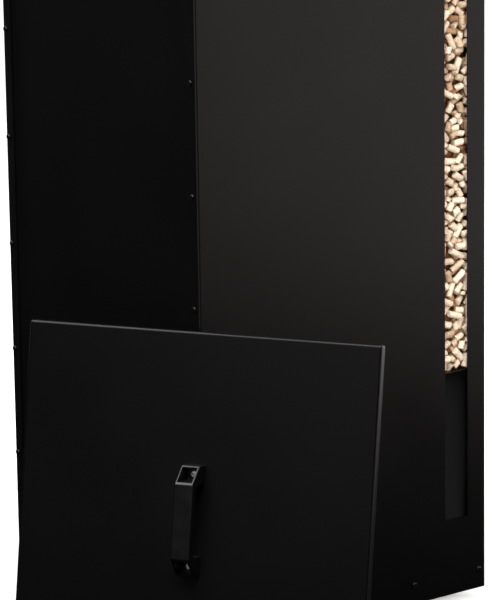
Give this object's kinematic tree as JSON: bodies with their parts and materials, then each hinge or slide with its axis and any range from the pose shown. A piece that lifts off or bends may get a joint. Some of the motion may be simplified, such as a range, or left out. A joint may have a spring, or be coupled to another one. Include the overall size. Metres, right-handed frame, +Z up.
{
  "type": "pellet storage bin",
  "caption": "Tall square bin of folded black steel sheet for fuel pellets, with a sight slot in the front and a lift-off pan lid with a bridge handle leaning at its corner.",
  "frame": {"origin": "middle of the base plate's underside, on the floor", "axes": "+Z up; -Y towards the front, which has the sight window; +X to the right as seen from the front"},
  "size_m": [0.565, 0.5798, 1],
  "materials": {
    "black_powder_coat": "fine-textured satin black powder coat",
    "black_moulded_plastic": "moulded black plastic with a soft sheen",
    "blackened_steel": "blackened steel, low sheen",
    "bright_steel": "zinc-bright steel",
    "clear_pane": "clear glossy sheet",
    "wood_pellets": "pressed pale wood, matte"
  },
  "bodies": {
    "bin_body": {"front_panel": "black_powder_coat", "back_panel": "black_powder_coat", "left_side_panel": "black_powder_coat", "right_side_panel": "black_powder_coat", "base_plate": "black_powder_coat", "inner_floor": "black_powder_coat", "floor_ledge_left": "black_powder_coat", "floor_ledge_right": "black_powder_coat", "window_bar_left": "black_powder_coat", "window_bar_right": "black_powder_coat", "window_pane": "clear_pane", "pellet_fill": "wood_pellets", "left_front_screw_1": "blackened_steel", "left_front_screw_2": "blackened_steel", "left_front_screw_3": "blackened_steel", "left_front_screw_4": "blackened_steel", "left_front_screw_5": "blackened_steel", "left_front_screw_6": "blackened_steel", "left_front_screw_7": "blackened_steel", "left_front_screw_8": "blackened_steel", "left_front_screw_9": "blackened_steel", "left_rear_screw_1": "blackened_steel", "left_rear_screw_2": "blackened_steel", "left_rear_screw_3": "blackened_steel", "left_rear_screw_4": "blackened_steel", "left_rear_screw_5": "blackened_steel", "left_rear_screw_6": "blackened_steel", "left_rear_screw_7": "blackened_steel", "left_rear_screw_8": "blackened_steel", "left_rear_screw_9": "blackened_steel", "right_front_screw_1": "blackened_steel", "right_front_screw_2": "blackened_steel", "right_front_screw_3": "blackened_steel", "right_front_screw_4": "blackened_steel", "right_front_screw_5": "blackened_steel", "right_front_screw_6": "blackened_steel", "right_front_screw_7": "blackened_steel", "right_front_screw_8": "blackened_steel", "right_front_screw_9": "blackened_steel", "right_rear_screw_1": "blackened_steel", "right_rear_screw_2": "blackened_steel", "right_rear_screw_3": "blackened_steel", "right_rear_screw_4": "blackened_steel", "right_rear_screw_5": "blackened_steel", "right_rear_screw_6": "blackened_steel", "right_rear_screw_7": "blackened_steel", "right_rear_screw_8": "blackened_steel", "right_rear_screw_9": "blackened_steel", "base_screw_1": "blackened_steel", "base_screw_2": "blackened_steel", "base_screw_3": "blackened_steel", "base_screw_4": "blackened_steel", "base_screw_5": "blackened_steel"},
    "lid": {"lid_panel": "black_powder_coat", "lid_handle": "black_moulded_plastic", "handle_bolt_upper": "bright_steel", "handle_bolt_lower": "bright_steel", "handle_nut_upper": "bright_steel", "handle_nut_lower": "bright_steel"}
  },
  "joints": [
    {"name": "lid_lift_off", "type": "slide", "parent": "bin_body", "child": "lid", "axis": [-0.7799, -0.5814, 0.2317], "range_m": [0, 0.25]}
  ]
}
